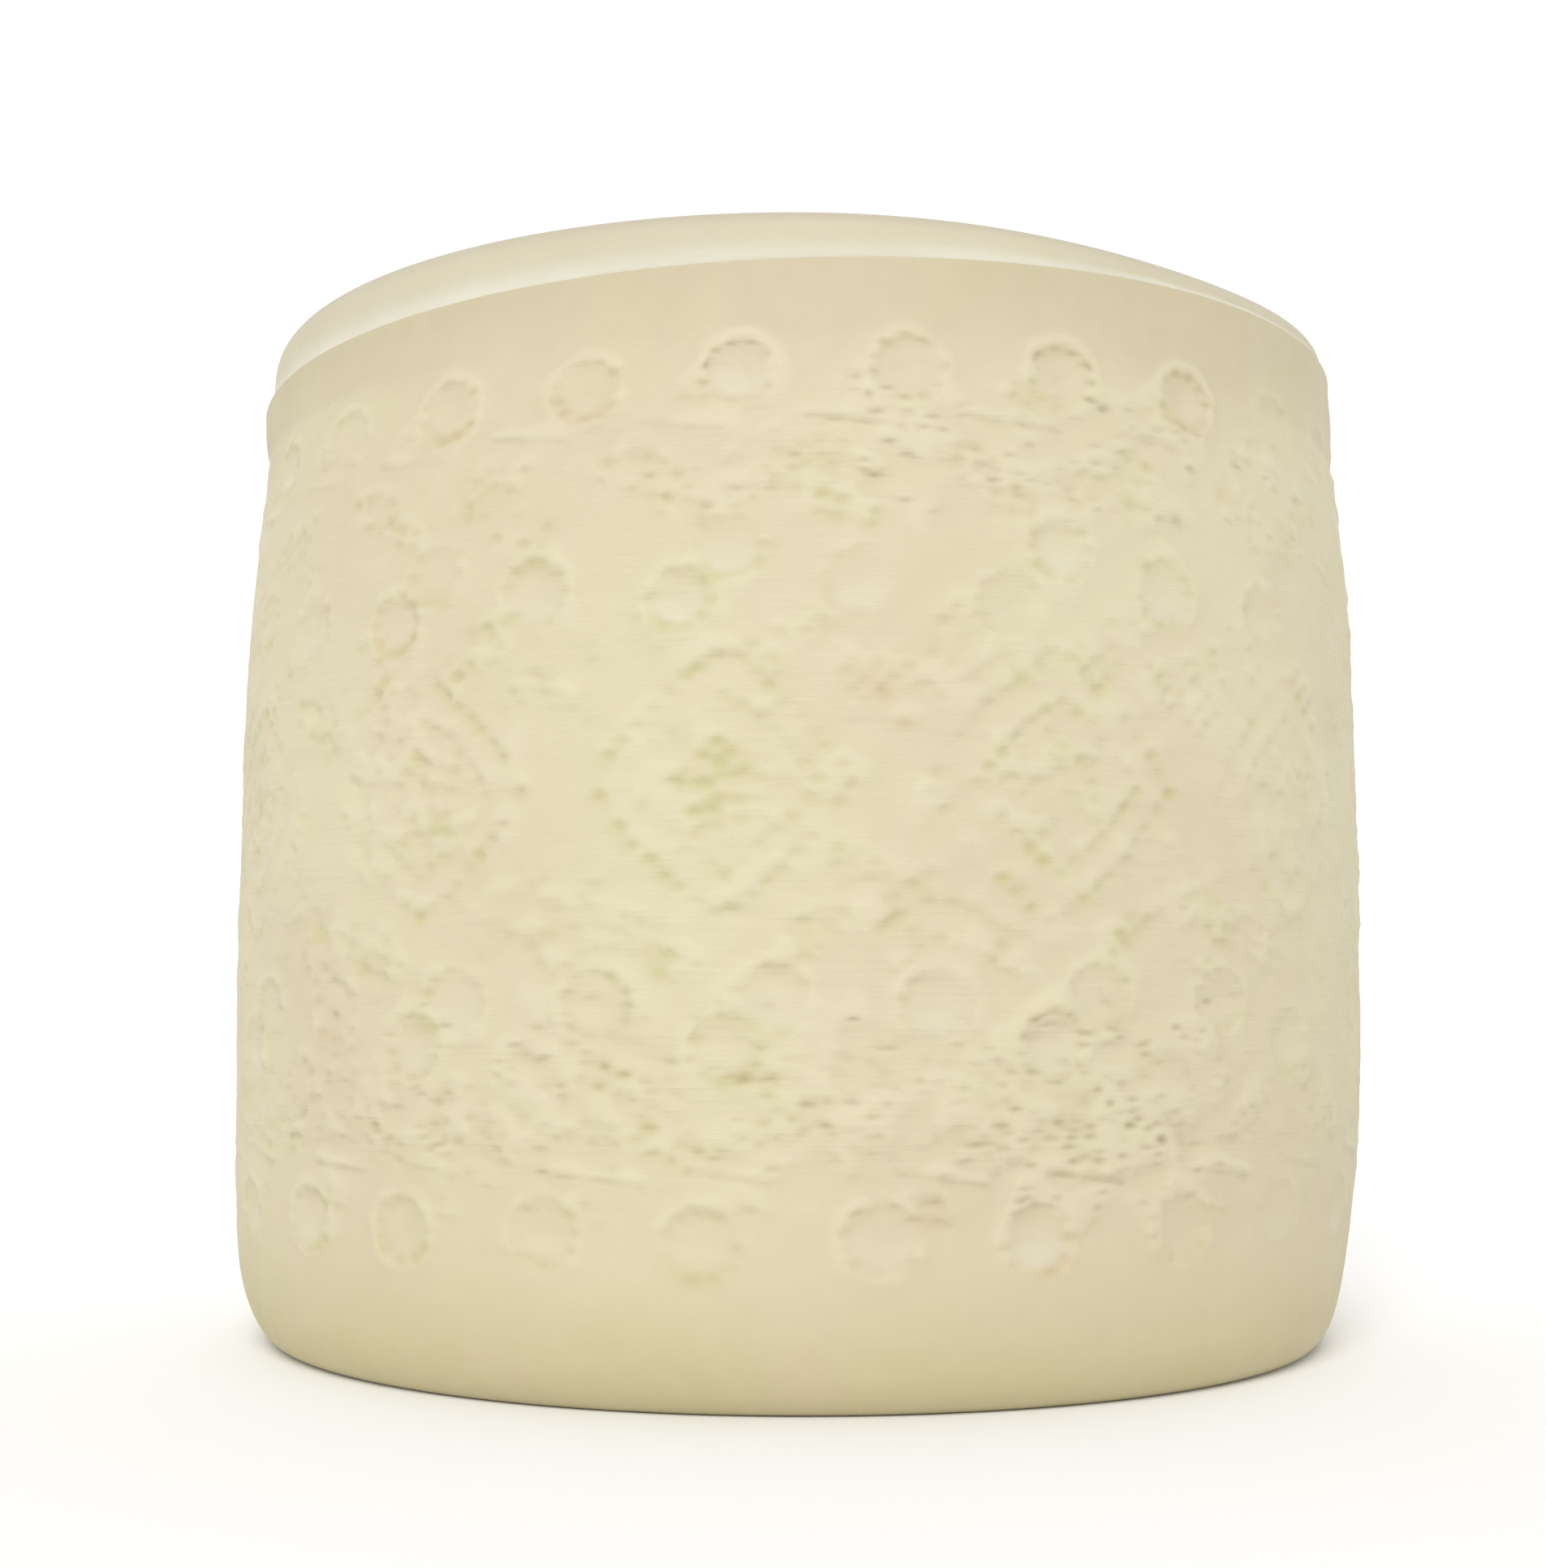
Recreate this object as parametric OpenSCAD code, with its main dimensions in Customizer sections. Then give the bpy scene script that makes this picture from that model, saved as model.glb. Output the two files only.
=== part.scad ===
// A whole wheel of hard cheese: a tall drum with a faint belly, a bevelled top
// edge above a ridge, a rounded bottom edge and a thin rind that is pared off
// as a side and two faces. The origin is the middle of the bottom face and +Z
// points up.

/* [Wheel] */
// Diameter at the belly, the widest level
diameter = 310; // [260:1:350]
// Height from the bottom face to the top face
height = 267; // [230:1:320]
// Thickness of the rind
rind = 6; // [4:0.5:10]

/* [Side wall] */
// Height of the belly above the bottom face
belly_height = 128; // [90:1:150]
// How much smaller the radius is at the upper end of the marking band than at the belly
top_draw_in = 4.5; // [1:0.5:8]
// How much smaller the radius is at the lower end of the marking band than at the belly
bottom_draw_in = 2.5; // [0.5:0.5:6]

/* [Top edge] */
// Height of the bevel between the top ridge and the top face
bevel_height = 13; // [8:0.5:16]
// How far the bevel leans in over its straight part
bevel_lean = 1.5; // [0.5:0.5:4]
// Radius of the soft corner between the bevel and the top face
bevel_round = 5; // [3:0.5:7]
// Height of the plain strip between the marking band and the top ridge
strip_height = 18; // [12:1:24]
// Depth of the groove that the upper edge of the marking band pressed in
band_groove = 0.7; // [0.2:0.1:1.5]

/* [Bottom edge] */
// Height of the bottom round-over
foot_round = 34; // [24:1:40]
// How far the round-over comes in at the bottom face
foot_inset = 13.5; // [8:0.5:20]

/* [Hidden] */
$fn = 180;
right_angle = 90;
wall_steps = 6;
corner_steps = 8;

belly_radius = diameter / 2;
ridge_height = height - bevel_height;
groove_height = ridge_height - strip_height;
groove_half_width = 4;
strip_radius = belly_radius - top_draw_in;
foot_wall_radius = belly_radius - bottom_draw_in;
bevel_top_radius = strip_radius - bevel_lean;
top_face_radius = bevel_top_radius - bevel_round;
// The wall is nearly straight at the belly and turns in faster towards the groove
upper_power = 3.1;
lower_power = 2;

// Level at which the side rind ends and the bottom rind begins
foot_seam = foot_round / 3;
foot_seam_angle = acos(1 - foot_seam / foot_round);
foot_seam_radius = foot_wall_radius - foot_inset * (1 - sin(foot_seam_angle));

// Surface between the rind and the paste
paste_radius = strip_radius - rind;
paste_foot_radius = foot_seam_radius - rind;
paste_top_radius = top_face_radius - rind;

// Radius of the wall at a level between the belly and the marking band's upper edge
function upper_wall(level) =
    belly_radius - top_draw_in
    * pow((level - belly_height) / (groove_height - belly_height), upper_power);

// Radius of the wall at a level between the round-over and the belly
function lower_wall(level) =
    belly_radius - bottom_draw_in
    * pow((belly_height - level) / (belly_height - foot_round), lower_power);

// Outline of the bottom round-over, an ellipse quarter, between two of its angles
function foot_arc(from, to) = [
    for (step = [0 : corner_steps])
        let (angle = from + (to - from) * step / corner_steps)
        [
            foot_wall_radius - foot_inset * (1 - sin(angle)),
            foot_round * (1 - cos(angle))
        ]
];

// Outline of the wall from above the round-over to the groove's lower edge
lower_line = [
    for (step = [1 : wall_steps])
        let (level = foot_round + (belly_height - foot_round) * step / wall_steps)
        [lower_wall(level), level]
];
upper_line = [
    for (step = [1 : wall_steps])
        let (level = belly_height
            + (groove_height - groove_half_width - belly_height) * step / wall_steps)
        [upper_wall(level), level]
];

// Outline of the groove and of the plain strip up to the ridge
strip_line = [
    [strip_radius - band_groove, groove_height],
    [strip_radius, groove_height + groove_half_width],
    [strip_radius, ridge_height]
];

// Outline of the soft corner from the bevel round to the top face
bevel_corner = [
    for (step = [0 : corner_steps])
        let (angle = right_angle * step / corner_steps)
        [
            top_face_radius + bevel_round * cos(angle),
            height - bevel_round * (1 - sin(angle))
        ]
];

// The paste's outer edge, from its bottom face up to its top face
paste_edge = [
    [paste_foot_radius, rind],
    [paste_foot_radius, foot_seam],
    [paste_radius, foot_round],
    [paste_radius, ridge_height - rind],
    [paste_top_radius, height - rind]
];

// Part of the paste's outer edge, highest point first, for the rind around it
function paste_edge_down(high, low) = [for (index = [high : -1 : low]) paste_edge[index]];

module turn(outline) {
    rotate_extrude() polygon(outline);
}

// The edible body, sealed in by the rind
module cheese_paste() {
    color("lightyellow")
    turn(concat([[0, rind]], paste_edge, [[0, height - rind]]));
}

// The side of the rind, from the bottom seam up to the top ridge
module side_rind() {
    color("wheat")
    turn(concat(
        foot_arc(foot_seam_angle, right_angle),
        lower_line,
        upper_line,
        strip_line,
        paste_edge_down(3, 1)
    ));
}

// The top face of the rind with its bevelled edge
module top_rind() {
    color("cornsilk")
    turn(concat(
        [[strip_radius, ridge_height]],
        bevel_corner,
        [[0, height], [0, height - rind]],
        paste_edge_down(4, 3)
    ));
}

// The bottom face of the rind, which the wheel stands on
module bottom_rind() {
    color("burlywood")
    turn(concat(
        [[0, 0]],
        foot_arc(0, foot_seam_angle),
        paste_edge_down(1, 0),
        [[0, rind]]
    ));
}

cheese_paste();
side_rind();
top_rind();
bottom_rind();
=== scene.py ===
"""Looks of a whole wheel of hard cheese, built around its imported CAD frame.

Lengths are in millimetres until points are made, which are in metres. A place on the wheel is an angle, 0 at
the front and positive to the right, and a height above the bottom face. A mark's place is a distance across
from the front, along the belly, and a height.
"""

import math

import bpy
import numpy as np
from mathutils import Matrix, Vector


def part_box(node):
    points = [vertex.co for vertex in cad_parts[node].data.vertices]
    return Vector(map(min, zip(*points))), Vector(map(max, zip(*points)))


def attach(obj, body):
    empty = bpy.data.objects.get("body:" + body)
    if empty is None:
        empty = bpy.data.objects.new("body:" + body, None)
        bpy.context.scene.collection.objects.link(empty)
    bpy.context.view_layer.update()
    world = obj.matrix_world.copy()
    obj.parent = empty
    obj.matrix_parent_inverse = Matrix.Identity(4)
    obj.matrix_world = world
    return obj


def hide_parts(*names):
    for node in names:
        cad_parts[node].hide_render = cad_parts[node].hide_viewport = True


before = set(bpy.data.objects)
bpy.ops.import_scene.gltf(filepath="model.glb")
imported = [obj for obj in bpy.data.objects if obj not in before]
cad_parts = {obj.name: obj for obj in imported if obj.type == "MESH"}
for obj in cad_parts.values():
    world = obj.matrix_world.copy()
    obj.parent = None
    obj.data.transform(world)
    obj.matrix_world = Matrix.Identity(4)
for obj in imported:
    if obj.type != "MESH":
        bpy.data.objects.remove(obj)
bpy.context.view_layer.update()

MM = 0.001
TURN = 2 * math.pi
SEED = 20

_, side_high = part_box("side_rind")
_, top_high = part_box("top_rind")
_, foot_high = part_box("bottom_rind")
paste_low, paste_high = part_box("cheese_paste")

# -------- the wheel's outline

BELLY_RADIUS = side_high.x / MM
RIDGE_HEIGHT = side_high.z / MM
SEAM_HEIGHT = foot_high.z / MM
WHEEL_HEIGHT = top_high.z / MM
STRIP_RADIUS = top_high.x / MM
PASTE_RADIUS = paste_high.x / MM
PASTE_TOP = paste_high.z / MM
PASTE_BOTTOM = paste_low.z / MM

# These are the same as in the CAD
BELLY_HEIGHT = 128
STRIP_HEIGHT = 18
FOOT_ROUND = 34
FOOT_INSET = 13.5
BOTTOM_DRAW_IN = 2.5
UPPER_POWER = 3.1
LOWER_POWER = 2
BEVEL_LEAN = 1.5
BEVEL_ROUND = 5
RIND = 6

BAND_TOP = RIDGE_HEIGHT - STRIP_HEIGHT
BAND_BOTTOM = 28
FOOT_WALL_RADIUS = BELLY_RADIUS - BOTTOM_DRAW_IN
BEVEL_FOOT = WHEEL_HEIGHT - BEVEL_ROUND
TOP_EDGE = STRIP_RADIUS - BEVEL_LEAN - BEVEL_ROUND
FOOT_EDGE = FOOT_WALL_RADIUS - FOOT_INSET
PASTE_SHOULDER = RIDGE_HEIGHT - RIND
PASTE_FOOT_RADIUS = foot_high.x / MM - RIND
PASTE_TOP_RADIUS = TOP_EDGE - RIND
SEAM_TURN = math.acos(1 - SEAM_HEIGHT / FOOT_ROUND)

# The strip flares out by this much to the ridge's crisp edge, and a hollow ledge leads in above it
RIDGE_FLARE = 0.35
FLARE_HEIGHT = 8
LEDGE_HEIGHT = 5.5

# The groove that the band's upper edge left, deepest at the two sides of the wheel
GROOVE_DEPTH = 0.7
GROOVE_HALF_WIDTH = 2.6

# The ridge and the marks sit a little askew, higher on the right, and the groove a little lower there
ASKEW = 4.2
GROOVE_ASKEW = -5.8
# A dent in the top edge, to the right of the front
DENT_ANGLE = math.radians(41)
DENT_WIDTH = math.radians(25)
DENT_DEPTH = 3.3

# Local fullness of the wall: (angle, reach in degrees, height, reach in mm, how far out)
BULGES = [(-90, 32, 253, 11, 1.2), (90, 32, 242, 8, 0.9), (84, 34, 20, 20, -2.6), (-80, 40, 34, 24, 0.5)]


def wall_radius(height):
    """Radius of the wall at each height from the foot's round-over to the ridge."""
    up = np.clip((height - BELLY_HEIGHT) / (BAND_TOP - BELLY_HEIGHT), 0, 1)
    down = np.clip((BELLY_HEIGHT - height) / (BELLY_HEIGHT - FOOT_ROUND), 0, 1)
    return (BELLY_RADIUS - (BELLY_RADIUS - STRIP_RADIUS) * up**UPPER_POWER
            - (BELLY_RADIUS - FOOT_WALL_RADIUS) * down**LOWER_POWER)


def side_outline():
    """Points (radius, height) of the side from bottom seam to ridge in lattice steps, and normals."""
    turn = np.linspace(SEAM_TURN, math.pi / 2, 200)
    round_over = np.stack([FOOT_WALL_RADIUS - FOOT_INSET * (1 - np.sin(turn)),
                           FOOT_ROUND * (1 - np.cos(turn))], axis=1)
    height = np.linspace(FOOT_ROUND, RIDGE_HEIGHT, 1200)[1:]
    flare = RIDGE_FLARE * np.clip((height - RIDGE_HEIGHT) / FLARE_HEIGHT + 1, 0, 1) ** 2
    wall = np.stack([wall_radius(height) + flare, height], axis=1)
    return even_steps(np.concatenate([round_over, wall]))


def even_steps(line):
    """The line's points spaced evenly about a lattice step apart, in whole cells, and the normals there."""
    length = np.concatenate([[0], np.cumsum(np.hypot(*np.diff(line, axis=0).T))])
    count = CELL * round(length[-1] / LATTICE / CELL)
    at = np.linspace(0, length[-1], count + 1)
    points = np.stack([np.interp(at, length, line[:, k]) for k in (0, 1)], axis=1)
    along = np.gradient(points, axis=0)
    along /= np.hypot(along[:, 0], along[:, 1])[:, None]
    normals = np.stack([along[:, 1], -along[:, 0]], axis=1)
    return points, normals


# -------- the marks' pattern

def ring(centre, half_width, half_height, pitch, start=0, end=360):
    """Dots about a pitch apart round an ellipse, or round its part between two angles in degrees."""
    span = math.radians(end - start)
    count = max(2, round(abs(span) * (half_width + half_height) / 2 / pitch))
    turn = math.radians(start) + np.arange(count) / count * span
    x, y = half_width * np.cos(turn), half_height * np.sin(turn)
    return np.stack([centre[0] + x, centre[1] + y], axis=1)


def lozenge(centre, half_width, half_height, pitch, power=1.25):
    """Dots about a pitch apart round a diamond with soft corners and slightly bowed sides."""
    turn = np.linspace(0, TURN, 721)
    c, s = np.cos(turn), np.sin(turn)
    x = half_width * np.sign(c) * np.abs(c) ** (2 / power)
    y = half_height * np.sign(s) * np.abs(s) ** (2 / power)
    length = np.concatenate([[0], np.cumsum(np.hypot(np.diff(x), np.diff(y)))])
    count = round(length[-1] / pitch)
    at = np.arange(count) * length[-1] / count
    return np.stack([centre[0] + np.interp(at, length, x), centre[1] + np.interp(at, length, y)], axis=1)


def stroke(start, end, pitch):
    """Dots about a pitch apart from start to end."""
    start, end = np.array(start, float), np.array(end, float)
    count = max(2, round(np.hypot(*(end - start)) / pitch) + 1)
    return start + (end - start) * np.linspace(0, 1, count)[:, None]


def turned(dots, angle, centre):
    """The dots turned by an angle in degrees about the origin and then moved to a centre."""
    a = math.radians(angle)
    spin = np.array([[math.cos(a), -math.sin(a)], [math.sin(a), math.cos(a)]])
    return dots @ spin.T + np.array(centre, float)


def leaf(centre, length, width, angle):
    """Dots along both edges and the middle line of a leaf."""
    along = np.linspace(-1, 1, max(3, round(length / PITCH) + 1))
    edge = (1 - along**2) * width / 2
    x = along * length / 2
    middle = stroke((-length * 0.25, 0), (length * 0.25, 0), PITCH)
    upper, lower = np.stack([x, edge], axis=1), np.stack([x, -edge], axis=1)[1:-1]
    return turned(np.concatenate([upper, lower, middle]), angle, centre)


def bars(centre, length, gap, count, angle):
    """Dots along parallel bars."""
    levels = [gap * (k - (count - 1) / 2) for k in range(count)]
    rows = [stroke((-length / 2, level), (length / 2, level), PITCH) for level in levels]
    return turned(np.concatenate(rows), angle, centre)


# The band repeats this many times round the wheel, and a medallion's middle is at this angle
CELLS = 13
FIRST_CELL = math.radians(-6)
CELL_WIDTH = TURN * BELLY_RADIUS / CELLS
PITCH = 4.2

# Rings in one cell: (across from the medallion, height, half width, half height)
RINGS = [
    (4.3, 227.5, 8.0, 7.0), (-33.6, 227.5, 8.0, 7.0),
    (1.4, 188.7, 7.2, 6.4), (-10.6, 177.2, 7.2, 6.6), (30.0, 180.2, 7.8, 7.4),
    (10.0, 89.5, 8.0, 7.2), (-29.0, 88.3, 8.0, 7.2), (-1.5, 78.8, 7.4, 6.8),
    (-5.6, 38.4, 8.0, 7.2), (33.4, 38.6, 8.0, 7.2),
]

# Sloping dashes in one cell: (across, height of the middle, length)
DASHES = [(-8.4, 216.2, 22), (28.6, 216.2, 22), (6.8, 50.4, 20), (-28.4, 50.6, 20)]
DASH_SLOPE = -7

# Pairs of short dashes beside the rings: (across, height)
TICKS = [(-6.5, 224.0), (-44.0, 224.0), (7.5, 43.0), (-30.0, 43.5)]

# The medallion's middle, the half width and half height of its two lines, how round they bow, and its petals
MEDALLION = (0, 135.7)
OUTER_LINE = (28.5, 28.5)
INNER_LINE = (19.5, 18.5)
MEDALLION_BOW = 1.2
MEDALLION_PITCH = 4.6
PETALS = 5
PETAL_PLACE = (7.6, 7.2)
PETAL_SIZE = (8.5, 5.5)
FIRST_PETAL = math.radians(30)


def motifs():
    """The dots of one cell's filling: plain leaves, bars and lozenges between the rings."""
    return [
        leaf((-17.5, 205.5), 20, 8, -24), bars((-9.0, 198.0), 9, 3.6, 2, -14),
        leaf((16.8, 205.5), 22, 9, 24), bars((26.5, 195.5), 12, 4, 2, -14),
        bars((6.0, 201.0), 8, 3.6, 2, 34), leaf((16.8, 169.0), 17, 9, 42),
        bars((8.0, 162.0), 9, 3.8, 2, -50), lozenge((-22.0, 166.4), 8.5, 8.0, PITCH),
        bars((-36.0, 156.0), 14, 4.2, 3, -52), bars((-14.5, 160.0), 8, 4, 2, 40),
        leaf((30.0, 158.0), 15, 7, -40), leaf((31.5, 114.5), 20, 8, -52),
        leaf((19.5, 104.0), 17, 7, 34), lozenge((36.8, 100.5), 6, 6, PITCH),
        bars((-19.0, 102.5), 17, 4.0, 3, -20), bars((-12.0, 97.0), 12, 3.8, 2, -16),
        leaf((-34.0, 110.0), 14, 6, 50), leaf((14.0, 65.0), 23, 10, -44),
        bars((5.0, 58.0), 12, 3.8, 2, -20), bars((22.0, 58.5), 9, 3.6, 2, -40),
        leaf((-19.0, 64.0), 23, 9, 30), bars((-24.5, 72.0), 14, 4, 2, -16),
        bars((-12.0, 57.5), 11, 3.8, 2, -24), lozenge((29.5, 70.0), 8, 7.4, PITCH),
        bars((33.0, 59.0), 9, 3.8, 2, -14),
    ]


def medallion():
    """The dots of the large lozenge: its outline, a second line inside it, and a plain rosette."""
    lines = [lozenge(MEDALLION, *line, MEDALLION_PITCH, MEDALLION_BOW) for line in (OUTER_LINE, INNER_LINE)]
    petals = []
    for a in FIRST_PETAL + np.arange(PETALS) * TURN / PETALS:
        centre = (PETAL_PLACE[0] * math.cos(a), PETAL_PLACE[1] * math.sin(a))
        petals.append(leaf(centre, *PETAL_SIZE, math.degrees(a)) + MEDALLION)
    return lines + petals


# -------- relief

LATTICE = 0.45
CELL = 4
# A whole number of big cells round the wheel, that can be halved twice
ROUND_STEPS = 4 * CELL * round(TURN * BELLY_RADIUS / LATTICE / CELL / 4)
COLUMN_WIDTH = TURN * BELLY_RADIUS / ROUND_STEPS
# A blurred lone point times this and the two lengths that it is blurred over peaks at its own weight
POINT_PEAK = TURN / LATTICE**2

# Where the marks stayed clear and dark: (angle, height, reach in degrees, reach in mm, how clear)
CLEAR_PATCHES = [(6, 229, 26, 12, 1), (25, 62, 17, 26, 1), (-24, 68, 26, 24, 0.42), (-14, 205, 30, 16, 0.3)]
LEAST_CLEAR = 0.18
# Where the marks are fainter: (angle, reach in degrees, how much of them is gone)
FAINT_PLACES = [(62, 24, 0.5), (-80, 22, 0.6)]
# Where stray nicks are scattered: (angle, height, reach in degrees, reach in mm, how many)
SCRATCHED = [(24, 66, 22, 26, 130), (20, 208, 42, 18, 110), (-22, 70, 34, 24, 110)]

# How deep a lone mark of each kind goes; a ridge rises
DEPTHS = {"pin": 0.34, "nick": 0.28, "soft": 0.52, "line": 0.22, "furrow": 0.42, "ridge": -0.38}
# How much of the marks are short nicks, where the marks are clear
NICK_SHARE = 0.75
# How far a ring's middle is pressed in, and how far its rim rises
DISH_DEPTH = 0.50
DISH_RIM = 0.28

# The banks pushed up over the marks: how far they spread across and up, how far up they sit, and how high
BANK_ACROSS = 2.4
BANK_UP = 1.7
BANK_SHIFT = 1.4
BANK_FULL = 1.3
BANK_HEIGHT = 0.55


def smooth_step(value, low, high):
    """0 below low, 1 above high, and a smooth climb between."""
    share = np.clip((value - low) / (high - low), 0, 1)
    return share * share * (3 - 2 * share)


def blurred(field, across, up):
    """The field smoothed over two lengths, all the way round the wheel."""
    rows = np.fft.fftfreq(field.shape[0], LATTICE)[:, None]
    columns = np.fft.rfftfreq(field.shape[1], LATTICE)[None, :]
    keep = np.exp(-2 * math.pi**2 * ((rows * up) ** 2 + (columns * across) ** 2))
    return np.fft.irfft2(np.fft.rfft2(field) * keep, s=field.shape).astype(np.float32)


def noise(seed, shape, across, up):
    """Random relief of spread 1, smooth over the lengths across and up."""
    field = blurred(np.random.default_rng(seed).standard_normal(shape), across, up)
    return field / field.std()


class Marks:
    """Marks gathered on the fine lattice as points of weight, by the shape each kind is smoothed into."""

    # How far each kind of mark spreads: (across, up)
    SPREAD = {"pin": (0.8, 0.45), "nick": (1.1, 0.36), "soft": (1.5, 1.05), "line": (0.45, 0.36),
              "furrow": (1.15, 0.95), "ridge": (1.7, 0.8)}

    def __init__(self, level):
        self.level = level
        self.shape = (len(level), ROUND_STEPS)
        self.layers = {kind: np.zeros(self.shape, np.float32) for kind in self.SPREAD}
        self.dishes = np.zeros(self.shape, np.float32)
        self.painted_lower_highlight = np.zeros(self.shape, np.float32)

    def add(self, kind, dots, weights):
        """Adds dots at (across, height), each shared between the lattice's four points around it."""
        row = np.interp(dots[:, 1], self.level, np.arange(self.shape[0]))
        column = dots[:, 0] / COLUMN_WIDTH + ROUND_STEPS / 2
        r, c = np.floor(row).astype(int), np.floor(column).astype(int)
        p, q = row - r, column - c
        shares = ((0, 0, (1 - p) * (1 - q)), (0, 1, (1 - p) * q), (1, 0, p * (1 - q)), (1, 1, p * q))
        for down, right, share in shares:
            place = (np.minimum(r + down, self.shape[0] - 1), (c + right) % ROUND_STEPS)
            np.add.at(self.layers[kind], place, weights * share)

    def dish(self, centre, half_width, half_height, force, painted_lower_highlight):
        """The pressed-in middle of a ring, its raised rim, and a painted highlight of paler colour on the
        lower part of the middle, where it faces up.
        """
        column = centre[0] / COLUMN_WIDTH + ROUND_STEPS / 2
        row = np.interp(centre[1], self.level, np.arange(self.shape[0]))
        reach = int((half_width + 7) / LATTICE)
        columns = np.arange(int(column) - reach, int(column) + reach)
        rows = np.clip(np.arange(int(row) - reach, int(row) + reach), 0, self.shape[0] - 1)
        u = ((columns - column) * COLUMN_WIDTH)[None, :]
        v = (self.level[rows] - centre[1])[:, None]
        share = np.sqrt((u / half_width) ** 2 + (v / half_height) ** 2)
        outside = (share - 1) * (half_width + half_height) / 2
        bowl = 1 - smooth_step(outside, -2.4, 0.7)
        rim = DISH_RIM * force * np.exp(-(((outside - 1.5) / 1.5) ** 2))
        pressed = rim - DISH_DEPTH * force * bowl * (1.5 - share**2)
        there = np.ix_(rows, columns % ROUND_STEPS)
        self.dishes[there] += pressed.astype(np.float32)
        self.painted_lower_highlight[there] += (painted_lower_highlight * bowl * smooth_step(-v / half_height, -0.8, 0.9)).astype(np.float32)

    def peak(self, kind):
        """The layer smoothed, so that a lone mark of weight 1 peaks at 1."""
        across, up = self.SPREAD[kind]
        return blurred(self.layers[kind], across, up) * (POINT_PEAK * across * up)


def clearness(angle, level):
    """How clear and dark the marks stayed at a place, from 0 to 1."""
    degrees = math.degrees(angle)
    clear = sum(share * math.exp(-(((degrees - at) / reach) ** 2) - ((level - height) / reach_up) ** 2)
                for at, height, reach, reach_up, share in CLEAR_PATCHES)
    return min(1.0, LEAST_CLEAR + clear)


def faintness(degrees):
    """How much of the marks is gone at an angle."""
    return sum(gone * np.exp(-(((degrees - at) / reach) ** 2)) for at, reach, gone in FAINT_PLACES)


def patchy(rng, count, low, high):
    """Weights from 0 to 1 that come and go slowly along a line of points."""
    spread = 9
    slow = np.convolve(rng.uniform(0, 1, count + spread - 1), np.ones(spread) / spread, "valid")
    return smooth_step(slow, low, high)


def wobble(rng, dots, centre):
    """One pressing of some dots: slipped, turned and sized a little differently, each dot out of line."""
    size = rng.uniform(0.95, 1.05)
    out = turned((dots - centre) * size, rng.normal(0, 2.0), centre) + rng.normal(0, 0.4, 2)
    return out + rng.normal(0, 0.28, dots.shape)


def press_group(marks, rng, dots, shift, force, kept):
    """Presses some dots: pins and nicks where the marks stayed clear, and soft hollows where not."""
    centre = dots.mean(axis=0)
    placed_dots = wobble(rng, dots, centre) + (shift, 0)
    angle = (centre[0] + shift) / BELLY_RADIUS
    clear = clearness(angle, centre[1])
    weights = force * rng.uniform(0.45, 1.2, len(dots)) * (rng.uniform(0, 1, len(dots)) < kept)
    is_nick = rng.uniform(0, 1, len(dots)) < NICK_SHARE
    marks.add("nick", placed_dots, weights * clear * is_nick)
    marks.add("pin", placed_dots, weights * clear * ~is_nick)
    marks.add("soft", placed_dots, weights * (1.15 - 0.6 * clear))
    return clear


def press_ring(marks, rng, shape, shift, force):
    """Presses one ring: its dots, its middle, a thin line on its upper edge and a hollow on its lower."""
    s, z, half_width, half_height = shape
    centre = (s + rng.normal(0, 0.5), z + rng.normal(0, 0.5))
    dots = ring(centre, half_width, half_height, PITCH)
    clear = press_group(marks, rng, dots, shift, force * 0.85, 0.85)
    place = (centre[0] + shift, centre[1])
    # The last number sets the painted highlight on the lower part of the ring's middle
    marks.dish(place, half_width, half_height, force, rng.uniform(-0.5, 0.9))
    start, end = rng.uniform(10, 50), rng.uniform(130, 175)
    arc = ring(place, half_width + 0.2, half_height + 0.2, 0.35, start, end)
    marks.add("line", arc, 0.26 * force * clear * patchy(rng, len(arc), 0.36, 0.62))
    foot_arc = ring(place, half_width + 0.3, half_height + 0.3, 0.8, 215, 325)
    marks.add("soft", foot_arc, np.full(len(foot_arc), 0.14 * force))


def press_dash(marks, rng, place, shift, force):
    """Presses one sloping dash: a broken thin line, a furrow under it and a raised ridge above it."""
    s, z, length = place
    slope = DASH_SLOPE + rng.normal(0, 1.2)
    dots = turned(stroke((-length / 2, 0), (length / 2, 0), 0.5), slope, (s + shift, z))
    dots = dots + rng.normal(0, 0.5, 2)
    clear = clearness((s + shift) / BELLY_RADIUS, z)
    whole = patchy(rng, len(dots), 0.30, 0.60)
    marks.add("line", dots, 0.30 * force * (0.6 + 0.4 * clear) * whole)
    marks.add("furrow", dots, 0.09 * force * whole)
    marks.add("ridge", dots + (-1.0, 2.0), np.full(len(dots), 0.12 * force))


def press_furrows(marks, rng, shift, force):
    """Presses the continuous soft furrows under the medallion's two lines."""
    for line in (OUTER_LINE, INNER_LINE):
        dots = lozenge(MEDALLION, *line, 0.8, MEDALLION_BOW) + (shift, 0) + rng.normal(0, 0.5, 2)
        marks.add("furrow", dots, 0.2 * force * patchy(rng, len(dots), 0.30, 0.60))


def press_scratches(marks, rng):
    """Scatters short stray nicks, each with a second one beside it, over the scratched places."""
    for at, level, reach, reach_up, count in SCRATCHED:
        across = (at + reach * (2 * rng.beta(2, 2, count) - 1)) * math.radians(1) * BELLY_RADIUS
        dots = np.stack([across, level + reach_up * (2 * rng.beta(2, 2, count) - 1)], axis=1)
        weights = rng.uniform(0.2, 0.8, count)
        for _ in range(2):
            marks.add("nick", dots, weights)
            dots = dots + rng.normal(0, (1.1, 0.5), dots.shape)
            weights = weights * rng.uniform(0.2, 0.9, count)


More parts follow.
